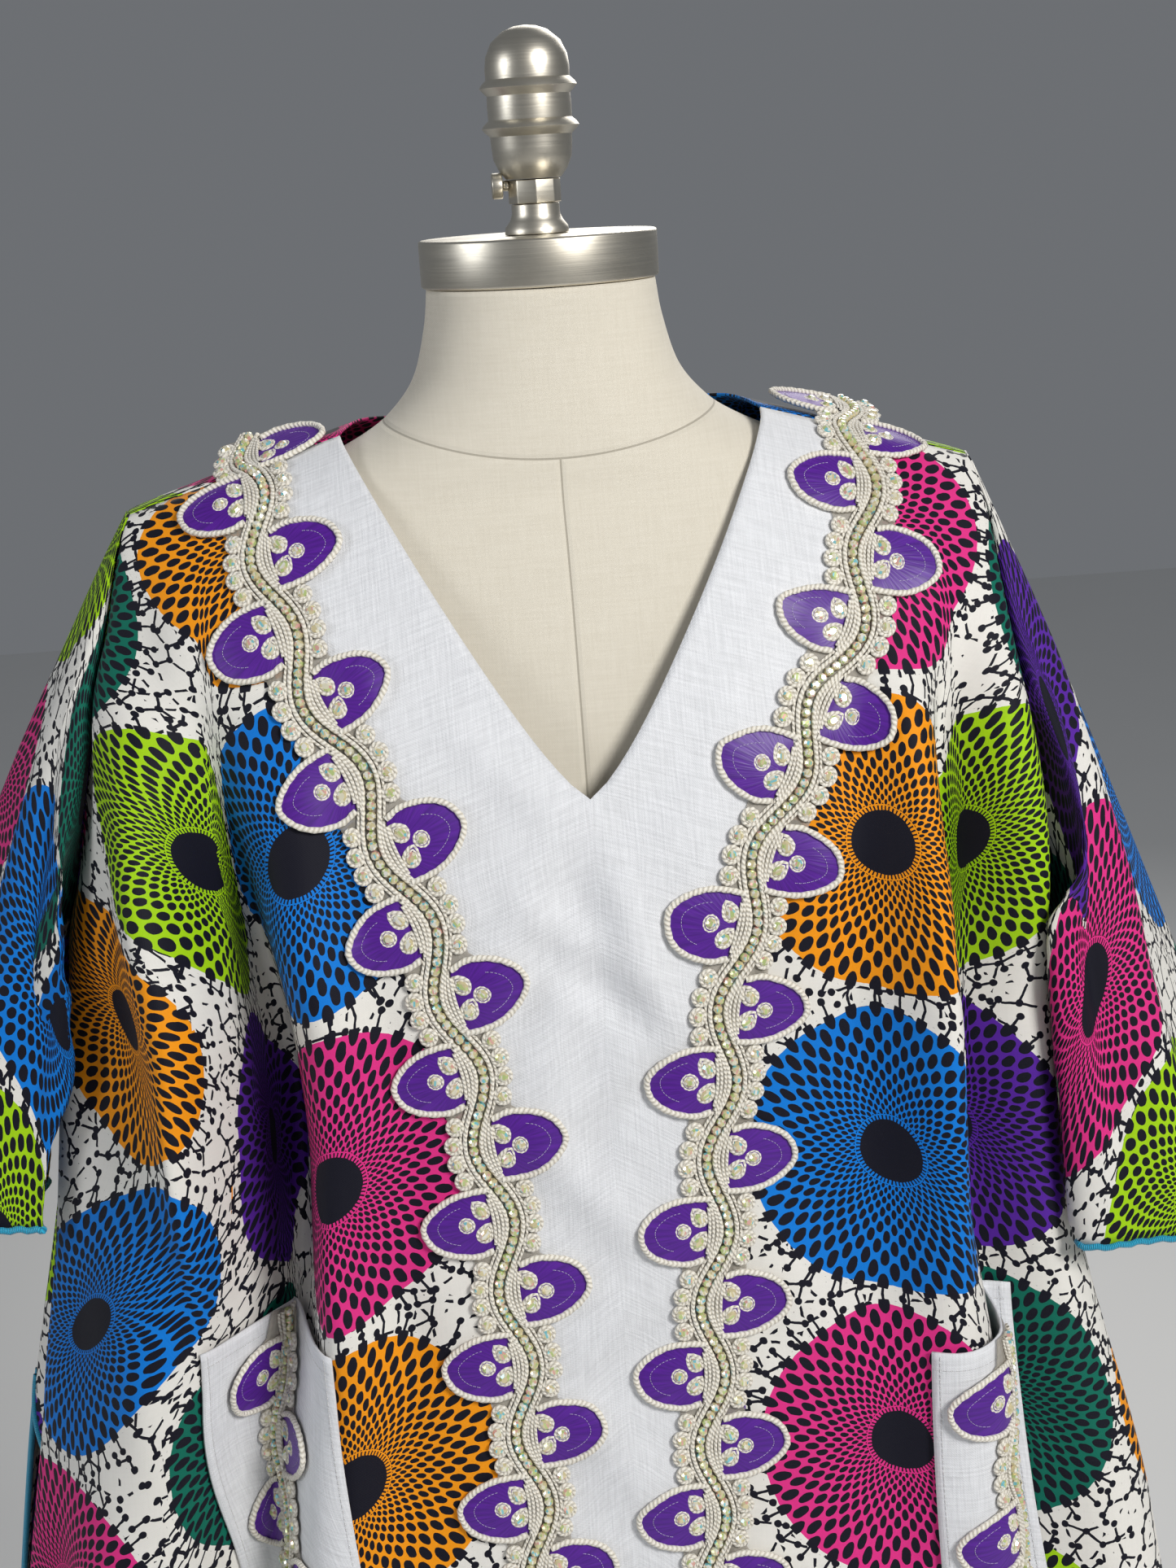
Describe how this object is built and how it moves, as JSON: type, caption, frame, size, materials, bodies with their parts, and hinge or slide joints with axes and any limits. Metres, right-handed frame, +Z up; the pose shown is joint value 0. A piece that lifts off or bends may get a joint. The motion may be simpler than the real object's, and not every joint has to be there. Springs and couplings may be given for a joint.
{
  "type": "maxi dress on a dress form",
  "caption": "Loose V-neck maxi dress with wide sleeves, beaded trims and patch pockets, worn by a limbless dress form on a pole and round base.",
  "frame": {"origin": "middle of the round base's underside", "axes": "+Z up along the pole, -Y out of the dress's front, +X to the viewer's right"},
  "size_m": [0.7621, 0.3813, 1.6116],
  "materials": {
    "wax_print_cotton": "printed plain-weave cotton",
    "white_cotton": "slubby plain-weave cotton",
    "ivory_cord_trim": "corded and beaded lace",
    "turquoise_thread": "overlocked thread edge",
    "cream_linen": "linen over a moulded form",
    "brushed_nickel": "brushed"
  },
  "bodies": {
    "root": {"front_center": "white_cotton", "front_left": "wax_print_cotton", "front_right": "wax_print_cotton", "back": "wax_print_cotton", "sleeve_left": "wax_print_cotton", "sleeve_right": "wax_print_cotton", "trim_left": "ivory_cord_trim", "trim_right": "ivory_cord_trim", "pocket_left": "white_cotton", "pocket_right": "white_cotton", "pocket_trim_left": "ivory_cord_trim", "pocket_trim_right": "ivory_cord_trim", "sleeve_left_hem": "turquoise_thread", "sleeve_right_hem": "turquoise_thread", "front_edge_roll": "turquoise_thread", "back_edge_roll": "turquoise_thread", "form_torso": "cream_linen", "neck_cap": "brushed_nickel", "collar_foot": "brushed_nickel", "collar_nut": "brushed_nickel", "collar_screw": "brushed_nickel", "finial": "brushed_nickel", "stand_pole": "brushed_nickel", "stand_base": "brushed_nickel"}
  },
  "joints": []
}
